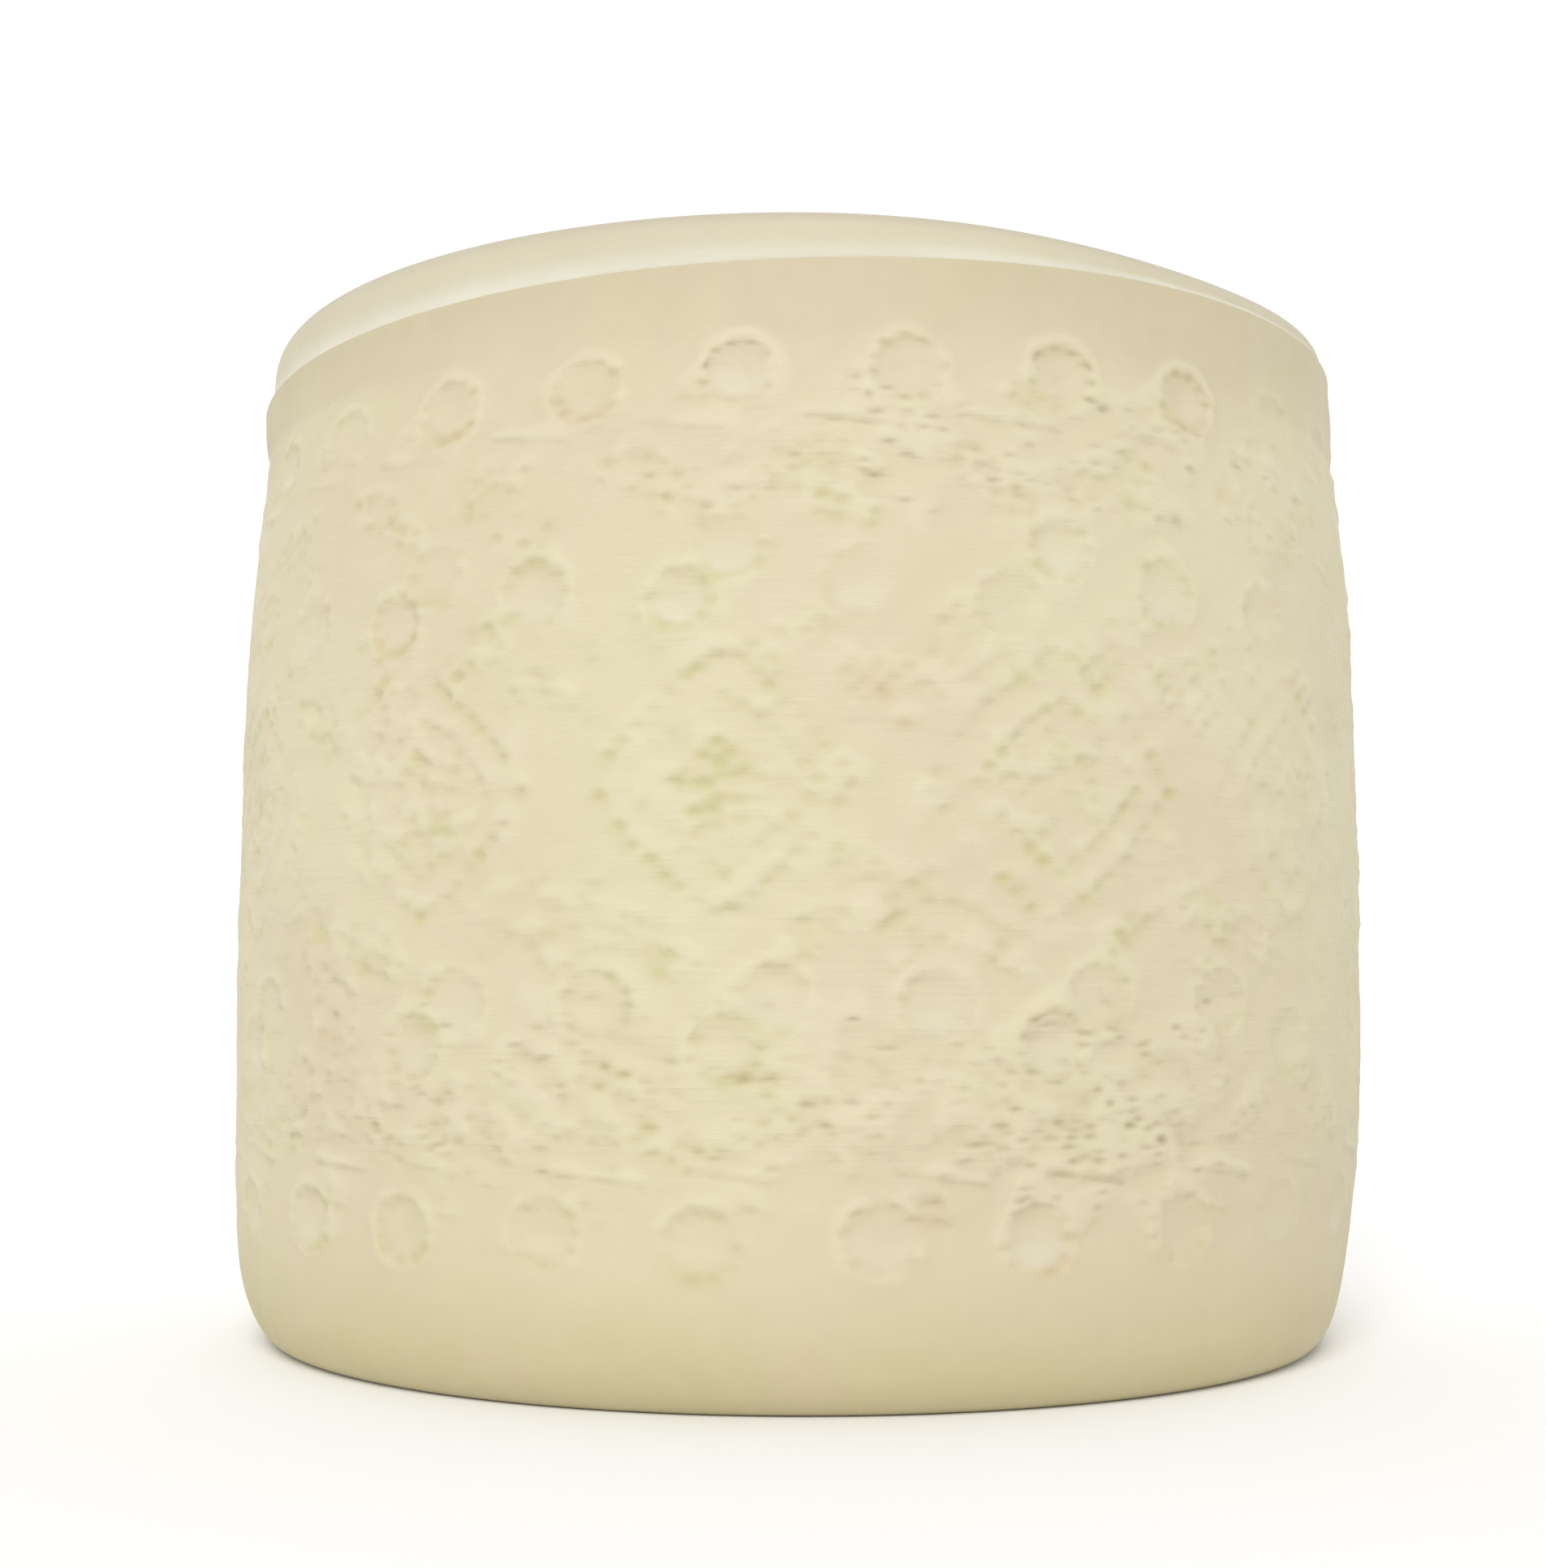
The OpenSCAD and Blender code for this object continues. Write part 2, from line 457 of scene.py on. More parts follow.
def press_cell(marks, rng, shift):
    """Presses the marks of one cell, some of them nearly worn away."""
    def force(across, weight=1.0):
        angle = (across + shift) / BELLY_RADIUS
        uneven = float(np.clip(rng.normal(0.9, 0.2), 0.4, 1.3))
        return weight * (1 - faintness(math.degrees(angle))) * uneven

    for shape in RINGS:
        press_ring(marks, rng, shape, shift, force(shape[0]))
    for place in DASHES:
        press_dash(marks, rng, place, shift, force(place[0]))
    for s, z in TICKS:
        press_group(marks, rng, bars((s, z), 4.0, 3.0, 2, -10), shift, force(s, 0.7), 0.9)
    press_furrows(marks, rng, shift, force(0))
    for dots in medallion():
        press_group(marks, rng, dots, shift, force(0, 1.05), 0.9)
    for dots in motifs():
        press_group(marks, rng, dots, shift, force(dots[:, 0].mean(), 0.9), 0.86)


def press_all(level):
    """Presses the marks of every cell round the wheel, and then the stray nicks."""
    marks = Marks(level)
    rng = np.random.default_rng(SEED)
    for cell in range(CELLS):
        press_cell(marks, rng, (FIRST_CELL / TURN * CELLS + cell - CELLS // 2) * CELL_WIDTH)
    press_scratches(marks, rng)
    return marks


def plateau(value, rise, fall):
    """1 between a smooth climb over the span rise and a smooth descent over the span fall, 0 beyond."""
    return smooth_step(value, *rise) * (1 - smooth_step(value, *fall))


def mark_relief(marks, peaks, in_band):
    """Relief of the marks, of the banks over them, and of the lumps, streaks and grain between them."""
    every = sum(marks.layers[kind] for kind in ("pin", "nick", "soft")) + marks.layers["furrow"]
    above = np.roll(blurred(every, BANK_ACROSS, BANK_UP), round(BANK_SHIFT / LATTICE), axis=0)
    bank = above * POINT_PEAK * BANK_ACROSS * BANK_UP
    crowd = np.clip(blurred(every, 5, 4.5) * POINT_PEAK * 4.2, 0, 1)
    worn = faintness(np.degrees(LATTICE_ANGLE))[None, :]
    height = marks.dishes
    for kind, depth in DEPTHS.items():
        height = height - depth * peaks[kind]
    height += BANK_HEIGHT * np.tanh(bank / BANK_FULL)
    height += in_band * noise(SEED + 2, marks.shape, 2.5, 1.9) * (0.07 + 0.18 * crowd) * (1 - worn)
    height += 0.022 * in_band * noise(SEED + 3, marks.shape, 5.0, 0.5) * (1 - worn)
    height += 0.012 * noise(SEED + 4, marks.shape, 1.5, 1.1)
    return height


def side_relief(level):
    """Relief of the side at each lattice point, and the fields that its colours follow there."""
    marks = press_all(level)
    peaks = {kind: marks.peak(kind) for kind in marks.SPREAD}
    column = level[:, None]
    in_band = plateau(column, (BAND_BOTTOM - 8, BAND_BOTTOM + 10), (BAND_TOP - 10, BAND_TOP))
    height = mark_relief(marks, peaks, in_band)
    dark = 0.65 * peaks["pin"] + 0.6 * peaks["nick"] + 0.75 * peaks["line"]
    yellow = 0.9 * peaks["soft"] + 0.3 * peaks["furrow"]
    tints = {"relief": height, "dark": np.clip(dark, 0, 1), "yellow": np.clip(yellow, 0, 1),
             "painted_lower_highlight": np.clip(marks.painted_lower_highlight, 0, 1)}
    slow = 0.14 * noise(SEED + 5, marks.shape, 15, 10)
    height = height + slow + band_edge(column) + band_join() * in_band
    ends = plateau(column, (level[0], level[0] + 6), (level[-1] - 5, level[-1] - 0.8))
    return height * ends, tints


def even_angles(columns):
    """Angles of a ring's points, from the back all the way round."""
    return -math.pi + TURN * np.arange(columns) / columns


LATTICE_ANGLE = even_angles(ROUND_STEPS)


def band_edge(column):
    """The groove along the band's upper edge."""
    sine = np.sin(LATTICE_ANGLE)[None, :]
    depth = GROOVE_DEPTH * (0.25 + 0.75 * sine**2)
    return -depth * np.exp(-(((column - BAND_TOP - GROOVE_ASKEW * sine) / GROOVE_HALF_WIDTH) ** 2))


def band_join():
    """The low upright line, away from the front, where the ends of the band met."""
    across = LATTICE_ANGLE * BELLY_RADIUS
    join = (CELLS / 2 + FIRST_CELL / TURN * CELLS) * CELL_WIDTH
    around = TURN * BELLY_RADIUS
    gap = (across - join + around / 2) % around - around / 2
    return 0.5 * (np.exp(-((gap / 1.1) ** 2)) - 0.8 * np.exp(-(((gap - 2.4) / 1.3) ** 2)))[None, :]


def form(angle, level):
    """The slow unevenness of the whole wheel at each angle and height, shared by the pieces of the rind."""
    share = level / WHEEL_HEIGHT
    out = (0.4 * np.sin(2 * angle + 0.6 + 1.1 * share) + 0.3 * np.sin(3 * angle - 1.0 + 2.0 * share)
           + 0.18 * np.sin(5 * angle + 2.2 - 3.0 * share) - 1.1 * np.sin(angle) * (1 - share) ** 2)
    for at, reach, height, reach_up, amount in BULGES:
        off = (np.degrees(angle) - at + 180) % 360 - 180
        out = out + amount * np.exp(-((off / reach) ** 2) - ((level - height) / reach_up) ** 2)
    return out


# -------- meshes

def on_wheel(angle, radius, level):
    """Points in metres at an angle, radius and height."""
    return np.stack([radius * np.sin(angle), -radius * np.cos(angle), level], axis=-1) * MM


def on_rind(angle, radius, level):
    """Points in metres of the rind's outer skin, set askew, dented and uneven as the real wheel is."""
    lift = ASKEW * np.sin(angle) * np.clip(level / RIDGE_HEIGHT, 0, 1) ** 1.3
    lift = lift * (1 - smooth_step(level, RIDGE_HEIGHT, WHEEL_HEIGHT))
    rim = smooth_step(level, RIDGE_HEIGHT, BEVEL_FOOT) * smooth_step(radius, 95, STRIP_RADIUS - RIND)
    dent = DENT_DEPTH * rim * np.exp(-(((angle - DENT_ANGLE) / DENT_WIDTH) ** 2))
    uneven = form(angle, level) * smooth_step(radius, 0, 60)
    return on_wheel(angle, radius + uneven, level + lift - dent)


# Edges sharper than this are not smoothed over
SHARP_ANGLE = math.radians(60)


def mesh_object(name, points, faces, attributes=None):
    """A smooth object from points and arrays of faces, each array with faces of one number of corners."""
    mesh = bpy.data.meshes.new(name)
    corners = np.concatenate([f.ravel() for f in faces]).astype(np.int32)
    sizes = np.concatenate([np.full(len(f), f.shape[1]) for f in faces])
    starts = np.concatenate([[0], np.cumsum(sizes)[:-1]]).astype(np.int32)
    mesh.vertices.add(len(points))
    mesh.vertices.foreach_set("co", np.ascontiguousarray(points, np.float32).ravel())
    mesh.loops.add(len(corners))
    mesh.loops.foreach_set("vertex_index", corners)
    mesh.polygons.add(len(starts))
    mesh.polygons.foreach_set("loop_start", starts)
    mesh.update(calc_edges=True)
    mesh.validate()
    mesh.polygons.foreach_set("use_smooth", np.ones(len(starts), bool))
    mesh.set_sharp_from_angle(angle=SHARP_ANGLE)
    for key, values in (attributes or {}).items():
        layer = mesh.attributes.new(key, "FLOAT", "POINT")
        layer.data.foreach_set("value", np.ascontiguousarray(values, np.float32))
    thing = bpy.data.objects.new(name, mesh)
    bpy.context.scene.collection.objects.link(thing)
    return thing


class Lathe:
    """Points and faces gathered ring by ring round the wheel.

    A face between two rings looks to the side that is on the right when going from the first ring to the
    second along the front.
    """

    def __init__(self):
        self.points = []
        self.faces = []
        self.count = 0

    def add_points(self, points):
        """Adds points and gives their numbers."""
        points = points.reshape(-1, 3)
        self.points.append(points)
        self.count += len(points)
        return np.arange(self.count - len(points), self.count)

    def add_ring(self, radius, level, columns):
        """Adds a plain ring of points."""
        return self.add_points(on_wheel(even_angles(columns), radius, np.full(columns, float(level))))

    def span(self, first, second):
        """Fills between two rings of points; the longer one may have twice as many."""
        if len(first) == len(second):
            self.faces.append(np.stack([first, np.roll(first, -1), np.roll(second, -1), second], axis=1))
        elif len(first) == 2 * len(second):
            self.faces.append(np.stack([first[::2], first[1::2], np.roll(first[::2], -1),
                                        np.roll(second, -1), second], axis=1))
        else:
            self.faces.append(np.stack([first, np.roll(first, -1), np.roll(second[::2], -1),
                                        second[1::2], second[::2]], axis=1))

    def close(self, around, level, upward):
        """Closes a ring with a fan to a point on the axis."""
        centre = self.add_points(np.array([0, 0, level * MM]))
        corners = [around, np.roll(around, -1)] if upward else [np.roll(around, -1), around]
        self.faces.append(np.stack([*corners, np.full(len(around), centre[0])], axis=1))

    def make(self, name, attributes=None):
        return mesh_object(name, np.concatenate(self.points), self.faces, attributes)


# A big cell is cut into small ones where its relief, or its dark tint, strays from flat by more than this
FINE_ENOUGH = 0.06
DARK_ENOUGH = 0.2
RIM_COLUMNS = ROUND_STEPS // CELL


def worst_gap(field):
    """For each big cell, how far the field strays inside it from what its four corners give."""
    rows, columns = (field.shape[0] - 1) // CELL, field.shape[1] // CELL
    wrapped = np.concatenate([field, field[:, :1]], axis=1)
    corner = wrapped[::CELL, ::CELL]
    worst = np.zeros((rows, columns), np.float32)
    for a in range(CELL + 1):
        for b in range(CELL + 1):
            p, q = a / CELL, b / CELL
            flat = ((1 - p) * ((1 - q) * corner[:-1, :-1] + q * corner[:-1, 1:])
                    + p * ((1 - q) * corner[1:, :-1] + q * corner[1:, 1:]))
            there = wrapped[a:a + rows * CELL:CELL, b:b + columns * CELL:CELL]
            worst = np.maximum(worst, np.abs(there - flat))
    return worst


def lattice_faces(cut, shape):
    """Numbers of the lattice points that are kept, and the faces over them.

    There is one face for each big cell, and a grid of small ones for each cell that is cut. A big cell
    beside a cut one takes its extra corners in.
    """
    cell_row, cell_column = np.nonzero(cut)
    kept = np.zeros(shape, bool)
    kept[::CELL, ::CELL] = True
    for a in range(CELL + 1):
        for b in range(CELL + 1):
            kept[cell_row * CELL + a, (cell_column * CELL + b) % shape[1]] = True
    number = np.full(shape, -1, np.int64)
    number[kept] = np.arange(kept.sum())

    def corners_at(r, c, offsets):
        return np.stack([number[r * CELL + a, (c * CELL + b) % shape[1]] for a, b in offsets], axis=1)

    faces = [corners_at(cell_row, cell_column, [(a, b), (a, b + 1), (a + 1, b + 1), (a + 1, b)])
             for a in range(CELL) for b in range(CELL)]
    # The first and last rows are never cut, so rolling up and down the wall is right too
    neighbours = [np.roll(cut, step, axis) for step, axis in ((1, 0), (-1, 1), (-1, 0), (1, 1))]
    sides = [[(0, k) for k in range(CELL)], [(k, CELL) for k in range(CELL)],
             [(CELL, CELL - k) for k in range(CELL)], [(CELL - k, 0) for k in range(CELL)]]
    for pattern in range(16):
        split = [bool(pattern >> k & 1) for k in range(4)]
        chosen = np.all([side == part for side, part in zip(neighbours, split)], axis=0)
        r, c = np.nonzero(chosen & ~cut)
        if len(r):
            offsets = [place for k in range(4) for place in (sides[k] if split[k] else sides[k][:1])]
            faces.append(corners_at(r, c, offsets))
    return number, faces


# The rind's inner surface, from the top down
PASTE_WALL = [(PASTE_RADIUS, PASTE_SHOULDER), (PASTE_RADIUS, FOOT_ROUND), (PASTE_FOOT_RADIUS, SEAM_HEIGHT)]


def make_side():
    """The side of the rind, with its marks, as one closed ring."""
    outline, normals = side_outline()
    height, tints = side_relief(outline[:, 1])
    cut = (worst_gap(height) > FINE_ENOUGH) | (worst_gap(tints["dark"]) > DARK_ENOUGH)
    cut[0, :] = cut[-1, :] = False
    number, faces = lattice_faces(cut, height.shape)
    row, column = np.nonzero(number >= 0)
    rise = height[row, column]
    radius, level = (outline[row, k] + normals[row, k] * rise for k in (0, 1))
    body = Lathe()
    body.add_points(on_rind(LATTICE_ANGLE[column], radius, level))
    body.faces = faces
    upper = number[-1, ::CELL]
    for radius, level in PASTE_WALL:
        inner = body.add_ring(radius, level, RIM_COLUMNS)
        body.span(upper, inner)
        upper = inner
    body.span(upper, number[0, ::CELL])
    hidden = np.zeros(body.count - len(row))
    fields = {key: np.concatenate([field[row, column], hidden]) for key, field in tints.items()}
    return body.make("side_rind_marked", fields)


FACE_WAVES = 14
FACE_WAVE_HEIGHT = 0.09
FACE_DENTS = 190


def face_relief(seed, radius, angle):
    """Relief of a pressed flat face round one of its rings: slow waves and small dents."""
    x, y = radius * np.sin(angle), -radius * np.cos(angle)
    rng = np.random.default_rng(seed)
    relief = np.zeros(x.shape)
    for _ in range(FACE_WAVES):
        heading, length, phase = rng.uniform(0, TURN), rng.uniform(35, 140), rng.uniform(0, TURN)
        along = x * math.cos(heading) + y * math.sin(heading)
        relief += FACE_WAVE_HEIGHT * np.sin(TURN / length * along + phase)
    for _ in range(FACE_DENTS):
        cx, cy = rng.uniform(-138, 138, 2)
        reach, depth = 2 + 7 * rng.uniform(0, 1) ** 2, rng.uniform(0.05, 0.38)
        relief -= depth * np.exp(-((x - cx) ** 2 + (y - cy) ** 2) / reach**2)
    return relief


def face_radii(stops, counts):
    """Radii from a face's edge inward, evenly spaced between each two stops."""
    return np.concatenate([np.linspace(a, b, n)[1:] for a, b, n in zip(stops, stops[1:], counts)])


def add_face(body, outline, halvings, lift, middle, upward):
    """Adds a face's rings, with half as many points inside each halving, from its lip to its middle."""
    rings = []
    for radius, level in outline:
        angle = even_angles(RIM_COLUMNS // 2 ** sum(radius < at for at in halvings))
        points = on_rind(angle, np.full(len(angle), radius), level + lift(angle, radius))
        rings.append(body.add_points(points))
    for outer, inner in zip(rings, rings[1:]):
        body.span(*((outer, inner) if upward else (inner, outer)))
    body.close(rings[-1], middle, upward)
    return rings


def add_inside(body, lip, places, upward):
    """Adds the inner surface of a face's rind, from its lip through some plain rings to a flat disc."""
    for radius, level in places:
        inner = body.add_ring(radius, level, RIM_COLUMNS)
        body.span(*((lip, inner) if upward else (inner, lip)))
        lip = inner
    body.close(lip, level, upward)


def top_rim():
    """Outline (radius, height) of the ledge above the ridge, the bevel and its soft corner."""
    rise = np.linspace(0, 1, 10) ** 1.5
    fall = (RIDGE_FLARE + BEVEL_LEAN) * (1 - (1 - np.linspace(0, 1, 10)) ** 2.2)
    ledge = np.stack([STRIP_RADIUS + RIDGE_FLARE - fall, RIDGE_HEIGHT + LEDGE_HEIGHT * rise], axis=1)
    turn = np.linspace(0, math.pi / 2, 12)
    x, z = BEVEL_ROUND * np.cos(turn), BEVEL_ROUND * np.sin(turn)
    return np.concatenate([ledge, np.stack([TOP_EDGE + x, BEVEL_FOOT + z], axis=1)])


# How deep the top face is dished in its middle, and how far all of it is sunk so that no wave stands proud
TOP_DISH = 1.1
FACE_SINK = 0.25
TOP_STOPS = (128, 60, 4)
TOP_COUNTS = (10, 39, 31)


def top_lift(angle, radius):
    """How far the top face is below the wheel's full height round one of its rings, as a negative height."""
    on_face = 1 - smooth_step(radius, TOP_EDGE - 10, TOP_EDGE + 1)
    uneven = on_face * face_relief(SEED + 7, radius, angle)
    return uneven - on_face * (FACE_SINK + TOP_DISH * (1 - smooth_step(radius, 20, TOP_EDGE - 4)))


def make_top():
    """The top face of the rind with its bevelled edge, as one closed disc."""
    flat = face_radii((TOP_EDGE, *TOP_STOPS), TOP_COUNTS)
    flat_outline = np.stack([flat, np.full(len(flat), WHEEL_HEIGHT)], axis=1)
    outline = np.concatenate([top_rim(), flat_outline])
    radius, level = outline.T
    near_top = smooth_step(level, WHEEL_HEIGHT - 6, WHEEL_HEIGHT - 0.4)
    # The ledge share carries pale bloom that is partly a painted highlight
    shares = {"ledge": 1 - smooth_step(level, RIDGE_HEIGHT, RIDGE_HEIGHT + 1.3 * LEDGE_HEIGHT),
              # Where the soft corner is painted darker as shade
              "corner": near_top * smooth_step(radius, TOP_EDGE - 6, TOP_EDGE),
              "rim": smooth_step(radius, TOP_EDGE - 26, TOP_EDGE - 2)}
    body = Lathe()
    rings = add_face(body, outline, TOP_STOPS[:2], top_lift, WHEEL_HEIGHT - TOP_DISH - FACE_SINK, True)
    add_inside(body, rings[0], ((PASTE_RADIUS, PASTE_SHOULDER), (PASTE_TOP_RADIUS, PASTE_TOP)), False)
    sizes = [len(around) for around in rings]
    hidden = np.zeros(body.count - sum(sizes))
    fields = {key: np.concatenate([np.repeat(share, sizes), hidden]) for key, share in shares.items()}
    return body.make("top_rind_bevelled", fields)


# How hollow the bottom face is in its middle, and the radii where the hollow starts and the rings are halved
BOTTOM_DISH = 0.9
BOTTOM_STOPS = (70, 4)
BOTTOM_COUNTS = (32, 27)
BOTTOM_REST = 132
BOTTOM_HALVED = 70.1


def bottom_lift(angle, radius):
    """How far the bottom face is above the floor round one of its rings."""
    uneven = np.abs(face_relief(SEED + 8, radius, angle))
    return (1 - smooth_step(radius, BOTTOM_STOPS[0], BOTTOM_REST)) * (BOTTOM_DISH + uneven)


def make_bottom():
    """The bottom face of the rind with the start of the round-over, as one closed disc."""
    turn = np.linspace(SEAM_TURN, 0, 26)
    flat = face_radii((FOOT_EDGE, *BOTTOM_STOPS), BOTTOM_COUNTS)
    radius = np.concatenate([FOOT_EDGE + FOOT_INSET * np.sin(turn), flat])
    level = np.concatenate([FOOT_ROUND * (1 - np.cos(turn)), np.zeros(len(flat))])
    body = Lathe()
    outline = np.stack([radius, level], axis=1)
    rings = add_face(body, outline, (BOTTOM_HALVED,), bottom_lift, BOTTOM_DISH, False)
    add_inside(body, rings[0], ((PASTE_FOOT_RADIUS, SEAM_HEIGHT), (PASTE_FOOT_RADIUS, PASTE_BOTTOM)), True)
    return body.make("bottom_rind_rounded")


# -------- materials

# How brightly the studio lights the front of the wheel
STUDIO = 1.27


def seen(*screen):
    """The material colour that looks like this (0 to 255 on screen) on the front of the wheel."""
    shares = [value / 255 for value in screen]
    linear = [share / 12.92 if share <= 0.04045 else ((share + 0.055) / 1.055) ** 2.4 for share in shares]
    return (*(value / STUDIO for value in linear), 1.0)


def set_range(node, *numbers):
    """Sets the spans that a map range node goes from and to."""
    for socket, number in zip(("From Min", "From Max", "To Min", "To Max"), numbers):
        node.inputs[socket].default_value = number


class Tree:
    """Short ways to add and join a material's nodes."""

    def __init__(self, name):
        self.material = bpy.data.materials.new(name)
        self.material.use_nodes = True
        self.tree = self.material.node_tree
        self.tree.nodes.clear()
        self.shader = self.add("ShaderNodeBsdfPrincipled")
        out = self.add("ShaderNodeOutputMaterial")
        self.tree.links.new(self.shader.outputs["BSDF"], out.inputs["Surface"])

    def add(self, kind, **settings):
        node = self.tree.nodes.new(kind)
        for key, value in settings.items():
            setattr(node, key, value)
        return node

    def join(self, source, target):
        """Sets a socket from another socket or from a plain value."""
        if isinstance(source, bpy.types.NodeSocket):
            self.tree.links.new(source, target)
        else:
            target.default_value = source

    def place(self, scale):
        """The object's own coordinates in metres, scaled by three numbers."""
        coords = self.add("ShaderNodeTexCoord")
        scaled = self.add("ShaderNodeVectorMath", operation="MULTIPLY")
        self.join(coords.outputs["Object"], scaled.inputs[0])
        scaled.inputs[1].default_value = scale
        return scaled.outputs[0]

    def noise(self, scale, detail=3.0, rough=0.5, stretch=(1, 1, 1), bend=0.0):
        node = self.add("ShaderNodeTexNoise")
        self.join(self.place(stretch), node.inputs["Vector"])
        for key, value in (("Scale", scale), ("Detail", detail), ("Roughness", rough), ("Distortion", bend)):
            node.inputs[key].default_value = value
        return node.outputs["Fac"]

    def between(self, value, low, high, to_low=0.0, to_high=1.0):
        """The value's span from low to high turned into to_low to to_high, and held there beyond it."""
        node = self.add("ShaderNodeMapRange", interpolation_type="SMOOTHSTEP")
        set_range(node, low, high, to_low, to_high)
        self.join(value, node.inputs["Value"])
        return node.outputs["Result"]

    def math(self, operation, first, second):
        node = self.add("ShaderNodeMath", operation=operation)
        self.join(first, node.inputs[0])
        self.join(second, node.inputs[1])
        return node.outputs[0]

    def mix(self, share, first, second):
        node = self.add("ShaderNodeMix", data_type="RGBA")
        self.join(share, node.inputs["Factor"])
        self.join(first, node.inputs[6])
        self.join(second, node.inputs[7])
        return node.outputs[2]

    def tint(self, colour, over, share, most):
        """The colour with another over it, by a share times the most that it may cover."""
        return self.mix(self.math("MULTIPLY", share, most), colour, over)

    def attribute(self, name):
        return self.add("ShaderNodeAttribute", attribute_name=name).outputs["Fac"]

    def height(self):
        """The height above the bottom face, in metres."""
        split = self.add("ShaderNodeSeparateXYZ")
        self.join(self.place((1, 1, 1)), split.inputs[0])
        return split.outputs["Z"]

    def bump(self, height, depth, strength=1.0, below=None):
        node = self.add("ShaderNodeBump")
        node.inputs["Distance"].default_value = depth
        node.inputs["Strength"].default_value = strength
        self.join(height, node.inputs["Height"])
        if below is not None:
            self.join(below, node.inputs["Normal"])
        return node.outputs["Normal"]


STRAW = seen(226, 216, 181)
TAN = seen(218, 205, 171)
PALE_TONE_AND_HIGHLIGHT = seen(232, 223, 190)
BLUSH = seen(223, 206, 178)
SOUR = seen(221, 212, 168)
YELLOW_FOOT_SHADE = seen(213, 202, 157)
STRIP = seen(212, 200, 166)
RIM = seen(218, 209, 183)
BLOOM_AND_HIGHLIGHT = seen(235, 232, 214)
PAINTED_CORNER_SHADE = seen(204, 193, 172)
PIT_BROWN = seen(166, 151, 116)
PIT_SOUR = seen(208, 201, 146)
PIT_RUST = seen(214, 193, 152)
PASTE = seen(243, 234, 205)


# Heights in metres that zones of the side fade over: the paler band's ends, the tan strip, the yellow foot
# that is also darkened there as painted shade, and the streaks' ends
BAND_RISE = (0.035, 0.095)
BAND_FALL = (0.262, 0.235)
STRIP_RISE = (0.228, 0.258)
FOOT_FALL = (0.050, 0.014)
STREAK_RISE = (0.035, 0.060)
STREAK_FALL = (0.250, 0.228)


def rind_colour(tree, zones):
    """Mottled straw, and where zones is true also paler in the band, tan above it and yellow at the foot,
    where it is also darker as painted shade.
    """
    broad = tree.between(tree.noise(9, 2.0, 0.5), 0.35, 0.65)
    warm = tree.between(tree.noise(17, 3.0, 0.55, bend=0.6), 0.42, 0.68)
    sour = tree.between(tree.noise(26, 4.0, 0.6, bend=0.4), 0.5, 0.75)
    fine = tree.between(tree.noise(140, 4.0, 0.6), 0.3, 0.7)
    colour = tree.tint(STRAW, TAN, broad, 0.6)
    if zones:
        height = tree.math("ADD", tree.height(), tree.math("MULTIPLY", tree.noise(20, 2.0), 0.02))
        band = tree.math("MULTIPLY", tree.between(height, *BAND_RISE), tree.between(height, *BAND_FALL))
        colour = tree.mix(tree.between(height, *STRIP_RISE, 0.0, 0.95), colour, STRIP)
        colour = tree.tint(colour, PALE_TONE_AND_HIGHLIGHT, band, 0.30)
        # Painted shade: the foot, facing down away from the light, is darker as well as yellower
        colour = tree.mix(tree.between(height, *FOOT_FALL, 0.0, 0.9), colour, YELLOW_FOOT_SHADE)
    colour = tree.tint(colour, BLUSH, warm, 0.35)
    colour = tree.tint(colour, SOUR, sour, 0.3)
    return tree.tint(colour, PALE_TONE_AND_HIGHLIGHT, fine, 0.12)


def rind_bump(tree, streaked):
    """Fine grain and lumps, with brushed streaks round the wheel, or with pores where it isn't streaked."""
    grain = tree.bump(tree.noise(900, 3.0, 0.6), 0.00012, 0.5)
    lumps = tree.bump(tree.noise(260, 3.0, 0.5), 0.00035, 0.25, grain)
    if not streaked:
        pores = tree.between(tree.noise(300, 2.0, 0.5), 0.62, 0.80)
        return tree.bump(pores, -0.0003, 0.4, tree.bump(tree.noise(70, 4.0, 0.6), 0.0010, 0.3, lumps))
    lower, upper = (tree.between(tree.height(), *span) for span in (STREAK_RISE, STREAK_FALL))
    inside = tree.math("MULTIPLY", lower, upper)
    streaks = tree.math("MULTIPLY", tree.noise(60, 4.0, 0.55, stretch=(1, 1, 16)), inside)
    return tree.bump(streaks, 0.0005, 0.45, lumps)


def mark_tints(tree, colour):
    """Darker pins and nicks, and soft sour or rusty stains round the marks, with raised relief and the
    rings' lower middles painted paler as painted highlights.
    """
    # Painted highlight: raised relief, the banks over the marks and the lumps, is painted paler
    high = tree.between(tree.attribute("relief"), 0.10, 0.50)
    colour = tree.tint(colour, PALE_TONE_AND_HIGHLIGHT, high, 0.55)
    # Painted highlight: the lower part of each ring's middle, which faces up to the light, is painted paler
    colour = tree.tint(colour, BLOOM_AND_HIGHLIGHT, tree.attribute("painted_lower_highlight"), 0.42)
    stain = tree.mix(tree.between(tree.noise(19, 2.0), 0.48, 0.60), PIT_SOUR, PIT_RUST)
    stained = tree.between(tree.noise(55, 3.0), 0.42, 0.66, 0.05, 0.7)
    colour = tree.tint(colour, stain, tree.attribute("yellow"), stained)
    dirty = tree.between(tree.noise(48, 3.0), 0.35, 0.65, 0.2, 0.85)
    return tree.tint(colour, PIT_BROWN, tree.attribute("dark"), dirty)


